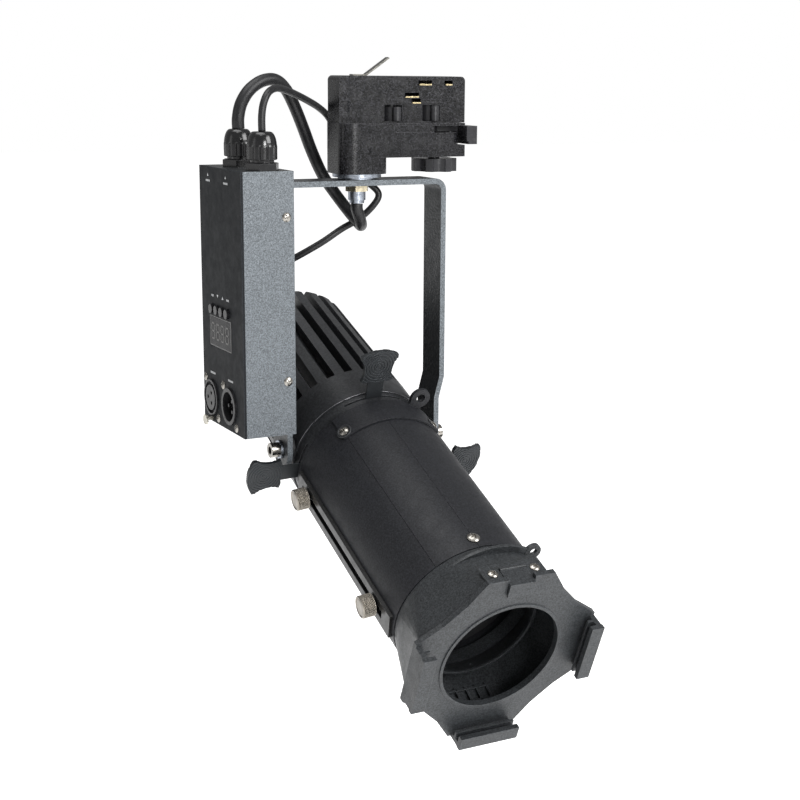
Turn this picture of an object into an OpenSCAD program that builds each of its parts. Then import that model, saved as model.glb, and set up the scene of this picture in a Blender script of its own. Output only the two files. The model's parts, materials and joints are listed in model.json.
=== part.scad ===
// Ellipsoidal profile spotlight on a three-circuit track adapter.
// Origin: on the pan axis, in the shoulder plane that seats against the track. +Z up, light leaves towards -Y.

/* [Track adapter] */
// Width of the adapter base under the track
base_w = 34; // [30:0.5:38]
// Height of the adapter arm below the shoulder
arm_h = 22; // [20:0.5:26]
// Height of the round-cornered boss around the pan axis
boss_h = 32.5; // [30:0.5:40]
// Far end of the adapter base from the pan axis
arm_end = 71.5; // [70:0.5:80]
// Width of the body that enters the track
track_w = 18; // [16.5:0.5:20]
// Height of the body that enters the track
track_h = 30; // [28:0.5:34]
// Outside radius of the threaded mounting nipple (M10)
nipple_r = 5; // [4.5:0.5:6]
// Radius of the circuit selector wheel
selector_r = 15.5; // [13:0.5:17]

/* [Yoke] */
// Width of the yoke strip
strip_w = 24.5; // [20:0.5:28]
// Thickness of the yoke strip
strip_t = 3.7; // [3:0.1:4.5]
// Outside width of the yoke
yoke_w = 120.5; // [116:0.5:140]
// Height from the tilt axis to the top face of the yoke
yoke_h = 177; // [170:1:210]
// How far each leg steps inwards above its pivot
joggle = 4; // [2:0.5:4]
// Radius of the pivot bolts
pivot_r = 3; // [2.5:0.25:4]

/* [Driver case] */
// Depth of the driver case across the yoke leg
case_x = 35; // [32:0.5:45]
// Width of the driver case
case_y = 73.2; // [72:0.2:90]
// Height of the driver case
case_z = 167; // [160:1:190]
// Sheet thickness of the case and its panel
case_wall = 1.5; // [1:0.1:2]
// Shell radius of the XLR connectors
xlr_r = 12; // [11.5:0.1:12.2]

/* [Lamp] */
// Tilt of the lamp below horizontal as drawn
lamp_tilt = 23; // [0:1:45]
// Outside radius of the barrel
barrel_r = 49.4; // [46:0.2:51]
// Wall of the barrel
barrel_wall = 2; // [1.6:0.1:3]
// Front end of the barrel from the tilt axis
barrel_end = 170; // [165:1:190]
// Rear end of the heat sink behind the tilt axis
sink_end = 135.5; // [120:1:140]
// Number of cooling fins
fin_count = 24; // [16:2:30]
// Width of the slot between two fins
fin_slot = 6; // [4:0.25:6.5]
// Clear radius of the front aperture
aperture_r = 38; // [33:0.5:38.5]
// Distance from the barrel's end to the face of the colour-frame holder
holder_l = 43; // [38:1:50]
// Radius of the gate opening that the shutters close
gate_r = 24; // [20:0.5:25]

/* [Fits] */
// Radial clearance of a running fit
run_fit = 0.07; // [0.05:0.01:0.09]
// Gap between faces that move past each other
gap = 0.3; // [0.3:0.05:0.5]

/* [Hidden] */
$fn = 72;
eps = 0.01;

// adapter
boss_r = 10;
track_x0 = -16.5;
track_x1 = arm_end + 4;
track_wall = 1.5;
washer_t = 2.4;
friction_t = 1.6 - gap;
plate_z = -boss_h - washer_t - 1.6;
lever_x = 53;
rear_cam_x = 25;
lever_z = -6;
lever_t = 4;
blade_w = 8;
tab_x0 = arm_end + 1.5;
tab_l = 7.8;
tab_h = 12;
cam_h = 10;
cam_lobe = track_w / 2 - 0.5;
cam_lobe_r = 3;
cam_shaft_r = 2.5;
// each contact tongue: x, width, z of its underside
contacts = [[41, 9, 24.2], [60.5, 5, 24.2], [31, 9.5, 16.2], [36, 6, 12.4]];
selector_x = 57;
selector_h = 8.6;
selector_z = -arm_h - 1.6 - selector_h;
selector_shaft_r = 4;
drum_r = 8;
nut_t = 3.8;
ferrule_h = 7.8;
ferrule_z = plate_z - strip_t - gap - nut_t - ferrule_h;

// yoke
pivot_z = plate_z - yoke_h;
leg_x = yoke_w / 2;
leg_low_x = leg_x - joggle;
bend_r = 8;
joggle_top = pivot_z + 42;
joggle_end = pivot_z + 27;

// driver case
case_x1 = -leg_x;
case_x0 = case_x1 - case_x;
case_top = plate_z + 8.8;
case_bottom = case_top - case_z;
panel_x = case_x0;
case_screw_x = case_x1 - 5.2;
case_screw_z = [case_top - 28.4, case_bottom + 34.6];
gland_y = [13, -26.8];
gland_x = case_x1 - 16.8;
gland_af = 19;
gland_hole_r = 7.6;
gland_top = case_top + 23.7;
xlr_z = case_bottom + 16.2;
xlr_y = [21.5, -11];
xlr_screw_dy = 11.4;
xlr_screw_dz = 12;
button_r = 3;
button_y = [16.8, 7.7, -1.4, -10.5];
button_z = case_bottom + 76;
button_out = 2;
display_y = 3;
display_z = case_bottom + 61.7;
display_size = [36, 18.5];
latch_size = [6, 5, 2.2];
latch_z = xlr_z - xlr_r - 1.6;

// lamp, measured along the optical axis from the point under the tilt axis
pivot_rise = 4.2;
axis_z = pivot_z - pivot_rise;
pivot_s = -pivot_rise * sin(lamp_tilt);
pivot_v = pivot_rise * cos(lamp_tilt);
boss_pad_r = 7.6;
gland_off = 15;
housing_r = barrel_r + 0.1;
boss_start = housing_r - 3.1;
bolt_start = housing_r - 6.5;
housing_front = 6.5;
fin_front = -18;
fin_core_r = 30;
gate_front = 18;
gate_ring_r = barrel_r - 0.8;
blade_t = 1;
plane_tb = 11;
plane_lr = 13.6;
blade_span = 40;
stem_w = 11.5;
pad_w = 26;
pad_l = 24;
pad_t = 3;
shutter_angle = [92.3, 351.5, 282, 183.5];
shutter_pad = [for (out = [24.1, 30.6, 20.6, 23.6]) barrel_r + out];
shutter_plane = [plane_tb, plane_lr, plane_tb, plane_lr];
cover_s0 = gate_front;
cover_s1 = 39;
cover_t = 1.4;
cover_a0 = 44;
cover_a1 = 131;
cover_screw_a = [cover_a0 + 3.5, cover_a1 - 3];
cover_screw_s = 33.5;
seam_angle = 94.3;
rail_angle = 188;
rail_w = 17;
rail_t = 2.2;
slot_w = 5.6;
slot_s0 = 32;
slot_s1 = barrel_end - 18;
carriage_l = 16;
carriage_r = barrel_r - barrel_wall - gap;
rear_carriage_s = 38;
front_carriage_s = 145;
knob_r = 7.2;
knob_h = 8.6;
knob_gap = 0.4;
rear_lens_r = carriage_r - 15.1;
front_lens_r = carriage_r - 8.1;
holder_s = barrel_end + holder_l;
plate_t = 3.5;
body_step = 4;
arm_w = 22;
arm_reach = 60;
lip_out = 12;
clip_w = 17;
clip_t = 1.2;
clip_v = arm_reach - body_step;
clip_out = 2;
clip_screw_s = holder_s - 10;
blade_l = 17;
pad_to_tip = 54.5;
eye_r = 3.1;
front_eye_r = 2.3;

// cord routes, chosen by hand
power_cable_d = 8;
power_route = [[-77, 13, -3.8], [-77, 13, 3], [-74.5, 13.5, 12], [-68, 15, 20.5], [-58, 18, 26],
    [-48, 21, 26.5], [-39.5, 24, 20.5], [-32, 27, 9], [-25, 29.5, -5], [-18, 32, -20], [-9.5, 33.5, -36],
    [-1, 32, -48.5], [6, 27, -59.5], [9, 19.5, -66], [8.5, 12, -68.3], [5.5, 5.5, -65.8], [2, 1.2, -60.5],
    [0, 0, -56], [0, 0, -52.6]];
led_cable_d = 4.6;
led_route = [[-77, -27, -3.9], [-77, -27, 5], [-75.5, -26.5, 13], [-71, -23.5, 19.5], [-63, -17, 22],
    [-53, -9, 20.5], [-42, 0, 17.5], [-30, 9.5, 13.5], [-19, 17.5, 9], [-10, 23, 3], [-4, 26.5, -6],
    [-2, 28, -16], [3, 28, -27], [12, 26, -36], [22, 23, -43], [26.5, 21.5, -49], [23, 22, -56],
    [14.6, 26.4, -65.2], [3, 31, -72.5], [-9, 33.5, -80.5], [-21, 38, -88], [-31, 46, -95], [-37, 60, -101],
    [-39, 78, -105], [-38, 98, -109], [-34, 117, -114], [-28, 132, -122], [-22.5, 139, -132],
    [-17, 137.3, -142.4], [-15, 129.6, -146.4]];

// ---------- shared shapes ----------

module rounded_square(x, y, r) {
    square([x - 2 * r, y], center = true);
    square([x, y - 2 * r], center = true);
    for (i = [-1, 1], j = [-1, 1])
        translate([i * (x / 2 - r), j * (y / 2 - r)]) circle(r);
}

// ring along +Z with an inner and an outer radius
module tube(r1, r0, h) {
    difference() {
        cylinder(r = r1, h = h);
        translate([0, 0, -1]) cylinder(r = r0, h = h + 2);
    }
}

// part of a ring between two angles, along +Z
module arc_wall(r1, r0, h, a0, a1) {
    rotate([0, 0, a0]) rotate_extrude(angle = a1 - a0)
        translate([r0, 0]) square([r1 - r0, h]);
}

// pan-head screw along +Z with a cross recess, head base at z = 0
module pan_screw(head_r, head_h, shank_r, shank_l) {
    difference() {
        union() {
            translate([0, 0, -shank_l]) cylinder(r = shank_r, h = shank_l + eps);
            rotate_extrude() intersection() {
                translate([0, head_h - 1.6 * head_r]) circle(1.6 * head_r);
                square([head_r, head_h]);
            }
        }
        for (a = [0, 90])
            rotate([0, 0, a + 20]) translate([-head_r * 0.55, -head_r * 0.13, head_h * 0.35])
                cube([head_r * 1.1, head_r * 0.26, head_h]);
    }
}

// children drawn in the lamp frame: +Z is the optical axis, +Y is up across it
module in_lamp() {
    translate([0, 0, axis_z]) rotate([90 + lamp_tilt, 0, 0]) children();
}

// children at an angle round the optical axis, local +X pointing outwards
module around(a) {
    rotate([0, 0, a]) children();
}

// ---------- swept cords ----------

function unit(v) = v / norm(v);
function tangent(p, i) = unit(p[min(i + 1, len(p) - 1)] - p[max(i - 1, 0)]);
function mid(a, b, c, d, t) = 0.5 * (2 * b + (c - a) * t + (2 * a - 5 * b + 4 * c - d) * t * t
    + (3 * b - a - 3 * c + d) * t * t * t);
// points of a smooth curve through the route, n steps in each span
function smooth(p, n) = [for (i = [0:len(p) - 2], k = [0:n - 1])
    mid(p[max(i - 1, 0)], p[i], p[i + 1], p[min(i + 2, len(p) - 1)], k / n), p[len(p) - 1]];
function side(t) = unit(cross(t, abs(t[1]) < 0.9 ? [0, 1, 0] : [1, 0, 0]));
// a side vector carried along the curve, so that the tube doesn't twist
function carried(p, i, s) = i == 0 ? side(tangent(p, 0))
    : let (t = tangent(p, i), q = s - (s * t) * t) unit(q);
function sides(p) = [for (i = 0, s = side(tangent(p, 0)); i < len(p);
    i = i + 1, s = i < len(p) ? carried(p, i, s) : s) s];

module cord(route, d, n, steps) {
    p = smooth(route, steps);
    s = sides(p);
    pts = [for (i = [0:len(p) - 1], k = [0:n - 1])
        let (t = tangent(p, i), b = cross(t, s[i]), a = 360 * k / n)
        p[i] + d / 2 * (cos(a) * s[i] + sin(a) * b)];
    m = len(p);
    walls = [for (i = [0:m - 2], k = [0:n - 1])
        [i * n + k, i * n + (k + 1) % n, (i + 1) * n + (k + 1) % n, (i + 1) * n + k]];
    polyhedron(points = pts, faces = concat([for (f = walls) [f[3], f[2], f[1], f[0]]],
        [[for (k = [0:n - 1]) k], [for (k = [n - 1:-1:0]) (m - 1) * n + k]]), convexity = 8);
}

// ---------- track adapter ----------

module lever_pocket() {
    edge = blade_w / 2 + 0.6;
    translate([lever_x, 0, lever_z - gap]) {
        cylinder(r = 7, h = lever_t + 2 * gap);
        translate([-edge, -base_w, 0]) cube([60, base_w + edge, lever_t + 2 * gap]);
    }
    // room for the tab to swing past the end of the arm
    translate([lever_x, 0, lever_z + lever_t - tab_h - gap]) difference() {
        translate([0, -base_w, 0]) cube([60, base_w + 6, tab_h + 2 * gap]);
        translate([0, 0, -1]) cylinder(r = tab_x0 - lever_x - gap, h = tab_h + 3);
    }
}

module adapter_base() {
    color("dimgray") difference() {
        union() {
            translate([0, 0, -boss_h]) linear_extrude(boss_h) rounded_square(base_w, base_w, boss_r);
            translate([0, -base_w / 2, -arm_h]) cube([arm_end, base_w, arm_h]);
        }
        translate([0, 0, -boss_h - 1]) cylinder(r = nipple_r + 0.05, h = boss_h);
        translate([-12, -track_w / 2 + 1.5, -boss_h + 8]) cube([30, track_w - 3, boss_h]);
        translate([selector_x, 0, -arm_h - 1]) cylinder(r = selector_shaft_r + run_fit, h = 8);
        translate([selector_x, 0, -arm_h + 5.8]) cylinder(r = drum_r + gap, h = 7.4);
        for (x = [rear_cam_x, lever_x]) translate([x, 0, -3]) cylinder(r = cam_shaft_r + run_fit, h = 4);
        lever_pocket();
        for (i = [-1, 1]) translate([base_w / 2 + 2, i * base_w / 2 - 0.6, -5.8])
            cube([36 - 2, 1.2, 4.4]);
        for (i = [-1, 1], x = [18, 46]) translate([x, i * base_w / 2 - 0.3, -14]) cube([0.6, 0.6, 7]);
        for (i = [-1, 1]) translate([0, i * (base_w / 2 - 0.4), -18]) rotate([90, 0, 0])
            cylinder(r = 2.4, h = 1.6, center = true);
    }
}

module cam_window(x) {
    translate([x - 9.4, -track_w, 0.9]) cube([13, track_w, cam_h + 0.6]);
}

module adapter_track_body() {
    w = track_w - 2 * track_wall;
    color([0.12, 0.12, 0.13]) difference() {
        union() {
            translate([track_x0, -track_w / 2, 0]) cube([track_x1 - track_x0, track_w, track_h - 3]);
            translate([track_x0 + 3, -track_w / 2, 0]) cube([track_x1 - track_x0 - 6, track_w, track_h]);
            for (x = [track_x0 + 3, track_x1 - 3]) translate([x, 0, track_h - 3]) rotate([90, 0, 0])
                cylinder(r = 3, h = track_w, center = true);
        }
        translate([track_x0 + 2, -w / 2, -1]) cube([track_x1 - track_x0 - 4, w, track_h - 1]);
        cam_window(lever_x);
        cam_window(rear_cam_x);
        for (c = contacts) translate([c[0] - 0.6, -track_w, c[2]]) cube([c[1] + 1.2, track_w, 3.2]);
        translate([track_x0 + 0.4, -track_w / 2 - 1, 6.6]) cube([6.2, 1.8, 7.6]);
        translate([-9.8, -track_w / 2 - 1, 1]) cube([0.6, 1.4, track_h]);
        for (i = [-1, 1]) translate([lever_x - 11, i * (track_w / 2) - 0.5, 13.4]) cube([20, 1, 1.6]);
    }
}

module track_contacts() {
    color("gold") for (c = contacts)
        translate([c[0], -track_w / 2 - 0.9, c[2]]) cube([c[1], 6, 0.9]);
}

module earth_spring() {
    color("silver") translate([0, 0, track_h]) rotate([90, 0, 0]) linear_extrude(5, center = true)
        polygon([[-4, 0], [6, 0], [22.6, 11.2], [22, 12], [5.6, 0.9], [-4, 0.9]]);
}

module seat_washers() {
    color("silver") {
        translate([0, 0, -boss_h - washer_t]) tube(nipple_r + 11, nipple_r + 0.1, washer_t);
        translate([0, 0, plate_z + gap]) tube(nipple_r + 7.5, nipple_r + 0.1, friction_t);
    }
}

module mounting_nipple() {
    z0 = ferrule_z + 2;
    color("silver") translate([0, 0, z0]) tube(nipple_r, nipple_r - 1, -boss_h + 7.5 - z0);
}

module nipple_nut() {
    color("gold") translate([0, 0, plate_z - strip_t - gap - nut_t]) difference() {
        cylinder(r = nipple_r + 3.2, h = nut_t, $fn = 6);
        translate([0, 0, -1]) cylinder(r = nipple_r + 0.05, h = nut_t + 2);
    }
}

module cable_ferrule() {
    color("silver") translate([0, 0, ferrule_z]) difference() {
        union() {
            cylinder(r = nipple_r - 0.1, h = 2);
            translate([0, 0, 2]) cylinder(r = nipple_r + 0.8, h = ferrule_h - 2);
        }
        translate([0, 0, 2]) cylinder(r = nipple_r + 0.05, h = ferrule_h);
        translate([0, 0, -1]) cylinder(r = 2, h = 4);
    }
}

module cam(h) {
    translate([0, -cam_lobe, 0]) cylinder(r = cam_lobe_r, h = h);
    translate([-cam_lobe_r + 0.4, -cam_lobe, 0]) cube([2 * cam_lobe_r - 0.8, cam_lobe, h]);
    cylinder(r = track_w / 2 - track_wall - gap, h = h);
}

module lock_lever() {
    color([0.1, 0.1, 0.11]) {
        translate([lever_x, 0, lever_z]) cylinder(r = 6, h = lever_t);
        translate([lever_x, -blade_w / 2, lever_z]) cube([tab_x0 - lever_x + 1, blade_w, lever_t]);
        translate([tab_x0, -base_w / 2, lever_z + lever_t - tab_h]) difference() {
            cube([tab_l, base_w / 2 + 5, tab_h]);
            translate([-1, -1, -1]) cube([2.4, base_w + 2, 3]);
            translate([tab_l - 1.4, 1.5, 1.5]) cube([2, base_w / 2 + 2, tab_h - 3]);
        }
        translate([lever_x, 0, lever_z + lever_t - eps]) cylinder(r = cam_shaft_r, h = 14);
        translate([lever_x, 0, 1.2]) cam(cam_h);
    }
}

module rear_cam() {
    color([0.1, 0.1, 0.11]) translate([rear_cam_x, 0, 0]) {
        translate([0, 0, -2.6]) cylinder(r = cam_shaft_r, h = 15);
        translate([0, 0, 1.2]) cam(cam_h - 1);
    }
}

module selector_wheel() {
    flutes = 7;
    color([0.15, 0.15, 0.16]) translate([selector_x, 0, selector_z]) {
        difference() {
            cylinder(r = selector_r, h = selector_h);
            for (k = [0:flutes - 1]) rotate([0, 0, 360 * k / flutes])
                translate([selector_r + 3.4, 0, -1]) cylinder(r = 6, h = selector_h + 2);
            translate([-selector_r, -1, -0.5]) cube([selector_r * 2 - 6, 2, 1]);
        }
        translate([0, 0, selector_h - eps]) cylinder(r = selector_shaft_r, h = 8.5);
        translate([0, 0, selector_h + 1.6 + 6.1]) cylinder(r = drum_r, h = 6);
    }
}

// ---------- yoke ----------

// one leg of the bent strip, with the bend that joins it to the plate
module yoke_leg() {
    t = strip_t;
    x = leg_x;
    lx = leg_low_x;
    foot = pivot_z - strip_w / 2;
    top = plate_z - bend_r;
    translate([x - bend_r, strip_w / 2, top]) rotate([90, 0, 0]) rotate_extrude(angle = 90)
        translate([bend_r - t, 0]) square([t, strip_w]);
    rotate([90, 0, 0]) linear_extrude(strip_w, center = true)
        polygon([[x, top], [x, joggle_top], [lx, joggle_end], [lx, foot],
            [lx - t, foot], [lx - t, joggle_end], [x - t, joggle_top], [x - t, top]]);
}

module yoke_bracket() {
    flat_w = yoke_w - 2 * bend_r;
    color("dimgray") difference() {
        union() {
            translate([-flat_w / 2, -strip_w / 2, plate_z - strip_t]) cube([flat_w, strip_w, strip_t]);
            yoke_leg();
            mirror([1, 0, 0]) yoke_leg();
        }
        translate([0, 0, plate_z - strip_t - 1]) cylinder(r = nipple_r + run_fit, h = strip_t + 2);
        translate([0, 0, pivot_z]) rotate([0, 90, 0])
            cylinder(r = pivot_r + run_fit, h = yoke_w + 2, center = true);
        // round the feet
        for (i = [-1, 1]) translate([i * leg_low_x, 0, pivot_z]) rotate([0, 90, 0]) difference() {
            translate([0, -strip_w, -strip_t * 2]) cube([strip_w, strip_w * 2, strip_t * 4]);
            cylinder(r = strip_w / 2, h = strip_t * 6, center = true);
        }
    }
}

module driver_case() {
    w = case_wall;
    color("slategray") difference() {
        translate([case_x0 + w, -case_y / 2, case_bottom]) cube([case_x - w, case_y, case_z]);
        translate([case_x0, -case_y / 2 + w, case_bottom + w])
            cube([case_x - w, case_y - 2 * w, case_z - 2 * w]);
        for (y = gland_y) translate([gland_x, y, case_top - w - 1]) cylinder(r = gland_hole_r, h = w + 2);
        for (z = case_screw_z, i = [-1, 1]) translate([case_screw_x, i * case_y / 2, z]) rotate([90, 0, 0])
            cylinder(r = 1.6, h = 4 * w, center = true);
    }
}

module case_screws() {
    color("silver") for (z = case_screw_z, i = [-1, 1])
        translate([case_screw_x, i * case_y / 2, z]) rotate([-90 * i, 0, 0]) pan_screw(2.9, 1.3, 1.5, 5);
}

module driver_panel() {
    color([0.13, 0.14, 0.15]) difference() {
        translate([panel_x, -case_y / 2, case_bottom]) cube([case_wall, case_y, case_z]);
        for (y = xlr_y) translate([panel_x - 1, y, xlr_z]) rotate([0, 90, 0])
            cylinder(r = xlr_r + 0.1, h = case_wall + 2);
        for (y = button_y) translate([panel_x - 1, y, button_z]) rotate([0, 90, 0])
            cylinder(r = button_r + gap, h = case_wall + 2);
        translate([panel_x - 1, display_y - display_size[0] / 2 - 0.1, display_z - display_size[1] / 2 - 0.1])
            cube([case_wall + 2, display_size[0] + 0.2, display_size[1] + 0.2]);
        for (y = xlr_y, i = [-1, 1]) translate([panel_x - 1, y + i * xlr_screw_dy, xlr_z + i * xlr_screw_dz])
            rotate([0, 90, 0]) cylinder(r = 1.6, h = case_wall + 2);
        translate([panel_x - 1, xlr_y[0] - latch_size[1] / 2 - gap, latch_z - latch_size[2] / 2 - gap])
            cube([case_wall + 2, latch_size[1] + 2 * gap, latch_size[2] + 2 * gap]);
    }
}

module driver_board() {
    x = panel_x + 20;
    color("darkgreen") translate([x, -31, case_bottom + 40]) cube([1.6, 62, case_z - 55]);
    color("gray") {
        translate([x + 1.6, -14, case_bottom + 84]) cube([9, 28, 24]);
        translate([x + 1.6, -26, case_top - 47]) rotate([0, 90, 0]) cylinder(r = 5, h = 9);
        translate([x + 1.6, 22, case_top - 39]) rotate([0, 90, 0]) cylinder(r = 4, h = 8);
        translate([x - 7, -20, case_top - 55]) cube([7, 16, 22]);
    }
}

module display_module() {
    color([0.05, 0.05, 0.06]) {
        translate([panel_x - 0.4, display_y - display_size[0] / 2, display_z - display_size[1] / 2])
            cube([7, display_size[0], display_size[1]]);
        translate([panel_x + 6.6, display_y - 20, display_z - 11]) cube([1.6, 40, 22]);
    }
}

module button(k) {
    color([0.08, 0.08, 0.09]) translate([panel_x - button_out, button_y[k], button_z]) rotate([0, 90, 0]) {
        cylinder(r = button_r, h = button_out + case_wall + 1);
        translate([0, 0, button_out + case_wall + 0.6]) cylinder(r = button_r + 0.8, h = 1.4);
    }
}

module button_1() { button(0); }
module button_2() { button(1); }
module button_3() { button(2); }
module button_4() { button(3); }

module xlr_female() {
    color([0.1, 0.1, 0.11]) translate([panel_x, xlr_y[0], xlr_z]) rotate([0, 90, 0]) difference() {
        union() {
            translate([0, 0, -1.4]) cylinder(r = xlr_r, h = 16);
            translate([-14, -13.2, case_wall]) cube([28.4, 26.4, 2]);
        }
        translate([xlr_r + 0.1, -3.4, case_wall - 1]) cube([6, 6.8, 5]);
        translate([0, 0, -2]) tube(10.6, 8.4, 2.6);
        for (a = [90, 210, 330]) rotate([0, 0, a]) translate([4, 0, -2]) cylinder(r = 1.3, h = 9);
        for (i = [-1, 1]) translate([-i * xlr_screw_dz, i * xlr_screw_dy, -2]) cylinder(r = 1.6, h = 8);
    }
}

module xlr_male() {
    color([0.1, 0.1, 0.11]) translate([panel_x, xlr_y[1], xlr_z]) rotate([0, 90, 0]) {
        difference() {
            union() {
                translate([0, 0, -1.4]) cylinder(r = xlr_r, h = 16);
                translate([-14, -13.2, case_wall]) cube([28.4, 26.4, 2]);
            }
            translate([0, 0, -2]) cylinder(r = 9.6, h = 12);
            for (i = [-1, 1]) translate([-i * xlr_screw_dz, i * xlr_screw_dy, -2]) cylinder(r = 1.6, h = 8);
        }
        for (a = [90, 210, 330]) rotate([0, 0, a]) translate([4, 0, 0.5]) cylinder(r = 1.2, h = 10);
    }
}

module xlr_screws() {
    color("silver") for (y = xlr_y, i = [-1, 1])
        translate([panel_x, y + i * xlr_screw_dy, xlr_z + i * xlr_screw_dz]) rotate([0, -90, 0])
            pan_screw(2.8, 1.2, 1.4, 5);
}

module xlr_latch() {
    color("silver") {
        translate([panel_x - latch_size[0] + case_wall, xlr_y[0] - latch_size[1] / 2, latch_z - latch_size[2] / 2])
            cube(latch_size);
        translate([panel_x - latch_size[0] + case_wall - 1, xlr_y[0], latch_z - 1]) rotate([0, 90, 0])
            cylinder(r = 3.4, h = 1.4);
    }
}

module gland(y) {
    h = gland_top - case_top;
    color([0.09, 0.09, 0.1]) translate([gland_x, y, case_top]) {
        translate([0, 0, -case_wall - 5]) cylinder(r = gland_hole_r - 0.1, h = case_wall + 5 + eps);
        translate([0, 0, -case_wall - 4]) cylinder(r = 8.2, h = 3.9);
        cylinder(r = gland_af / 2 / cos(30), h = 5, $fn = 6);
        translate([0, 0, 5 - eps]) cylinder(r = 7.4, h = 2);
        translate([0, 0, 7 - eps]) cylinder(r = gland_af / 2 / cos(30) - 0.6, h = 9, $fn = 6);
        translate([0, 0, 16 - 2 * eps]) cylinder(r1 = 8.8, r2 = 5.6, h = h - 16 + 2 * eps);
    }
}

module gland_power() { gland(gland_y[0]); }
module gland_led() { gland(gland_y[1]); }
module power_cable() { color([0.06, 0.06, 0.07]) cord(power_route, power_cable_d, 10, 3); }
module led_cable() { color([0.06, 0.06, 0.07]) cord(led_route, led_cable_d, 8, 2); }

// ---------- lamp ----------

module housing_profile() {
    taper = 3;
    round_r = 7;
    polygon([[0, -sink_end], [housing_r - taper - round_r, -sink_end],
        [housing_r - taper - round_r * 0.3, -sink_end + round_r * 0.3],
        [housing_r - taper, -sink_end + round_r],
        [housing_r, fin_front], [housing_r, housing_front], [0, housing_front]]);
}

module rear_housing() {
    color([0.12, 0.12, 0.13]) in_lamp() difference() {
        union() {
            rotate_extrude() housing_profile();
            // pivot bosses
            for (i = [-1, 1]) rotate([0, 90 * i, 0]) translate([-i * pivot_s, pivot_v, boss_start])
                cylinder(r = boss_pad_r, h = leg_low_x - strip_t - gap - boss_start);
        }
        for (k = [0:fin_count - 1]) rotate([0, 0, 360 * (k + 0.5) / fin_count])
            translate([fin_core_r, -fin_slot / 2, -sink_end - 1])
                cube([housing_r, fin_slot, sink_end + fin_front - 1.5]);
        translate([0, 0, -60]) cylinder(r = 26, h = 60);
        translate([0, 0, -15]) cylinder(r = housing_r - 4.5, h = 60);
        for (i = [-1, 1]) rotate([0, 90 * i, 0]) translate([-i * pivot_s, pivot_v, bolt_start - 1])
            cylinder(r = pivot_r + 0.05, h = leg_x);
        translate([-gland_off, gland_off, -sink_end - 1]) cylinder(r = 5, h = 12);
    }
}

module lamp_gland() {
    color([0.09, 0.09, 0.1]) in_lamp() translate([-gland_off, gland_off, -sink_end]) {
        translate([0, 0, 0]) cylinder(r = 4.9, h = 8);
        translate([0, 0, -4]) cylinder(r = 7, h = 4, $fn = 6);
        translate([0, 0, -11]) cylinder(r1 = 3.6, r2 = 6, h = 7 + eps);
    }
}

module led_module() {
    color("white") in_lamp() {
        translate([0, 0, -60]) cylinder(r = 20, h = 1.8);
        translate([0, 0, -58.2 - eps]) cylinder(r = 7, h = 2);
    }
}

module reflector() {
    color("silver") in_lamp() rotate_extrude()
        polygon([[9, -58], [25.6, -24], [25.6, -18], [24.4, -18], [24.4, -23.4], [7.8, -57.4]]);
}

module condenser_lens() {
    color([0.8, 0.9, 1, 0.4]) in_lamp() translate([0, 0, -17.9]) rotate_extrude() intersection() {
        translate([0, -28]) circle(40);
        square([25.8, 12]);
    }
}

// slot that one shutter blade slides in, through the wall of the gate
module shutter_slot(k) {
    around(shutter_angle[k]) translate([18, -blade_span / 2 - gap, shutter_plane[k] - blade_t / 2 - gap])
        cube([40, blade_span + 2 * gap, blade_t + 2 * gap]);
}

module gate_ring() {
    color([0.1, 0.1, 0.11]) in_lamp() difference() {
        translate([0, 0, housing_front]) cylinder(r = gate_ring_r, h = gate_front - housing_front);
        translate([0, 0, housing_front - 1]) cylinder(r = gate_r, h = gate_front);
        for (k = [0:3]) {
            shutter_slot(k);
            // blades reach across the opening when pushed in
            around(shutter_angle[k]) translate([-2, -blade_span / 2 - gap, shutter_plane[k] - blade_t / 2 - gap])
                cube([30, blade_span + 2 * gap, blade_t + 2 * gap]);
        }
    }
}

module shutter(k) {
    c = shutter_pad[k];
    tip = c - pad_to_tip;
    color([0.14, 0.14, 0.15]) in_lamp() around(shutter_angle[k]) translate([0, 0, shutter_plane[k]]) {
        translate([tip, -blade_span / 2, -blade_t / 2]) cube([blade_l, blade_span, blade_t]);
        translate([tip, -stem_w / 2, -blade_t / 2]) cube([c - pad_l / 2 - tip + 2, stem_w, blade_t]);
        // fan-shaped thumb pad with ring grooves on both faces
        translate([c, 0, -pad_t / 2]) difference() {
            intersection() {
                linear_extrude(pad_t) difference() {
                    translate([-pad_l / 2, -pad_w / 2]) square([pad_l, pad_w]);
                    for (i = [-1, 1]) translate([-4, i * (pad_w / 2 + 12.2)]) circle(15.5);
                }
                translate([-pad_l / 2 - 2, 0, -1]) cylinder(r = pad_l + 1.6, h = pad_t + 2);
                translate([pad_l / 2 + 8, 0, -1]) cylinder(r = pad_l + 9, h = pad_t + 2);
            }
            for (r = [1.4:1.9:13], z = [-1, pad_t - 0.4]) translate([0, 0, z])
                tube(r + 0.8, r, 1.4);
        }
    }
}

module shutter_top() { shutter(0); }
module shutter_right() { shutter(1); }
module shutter_bottom() { shutter(2); }
module shutter_left() { shutter(3); }

module gate_cover() {
    color([0.08, 0.08, 0.09]) in_lamp() difference() {
        union() {
            translate([0, 0, cover_s0]) arc_wall(barrel_r + cover_t, barrel_r + 0.05, cover_s1 - cover_s0,
                cover_a0, cover_a1);
            around(60.5) translate([barrel_r + 0.2, -5, cover_s0]) cube([9, 10, 2.5]);
            around(60.5) translate([barrel_r + 8.2, 0, cover_s0]) cylinder(r = 7, h = 2.5);
        }
        around(60.5) translate([barrel_r + 8.6, 0, cover_s0 - 1]) cylinder(r = eye_r, h = 5);
        for (a = cover_screw_a) around(a) translate([barrel_r, 0, cover_screw_s]) rotate([0, 90, 0])
            cylinder(r = 1.7, h = 10, center = true);
    }
}

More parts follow.
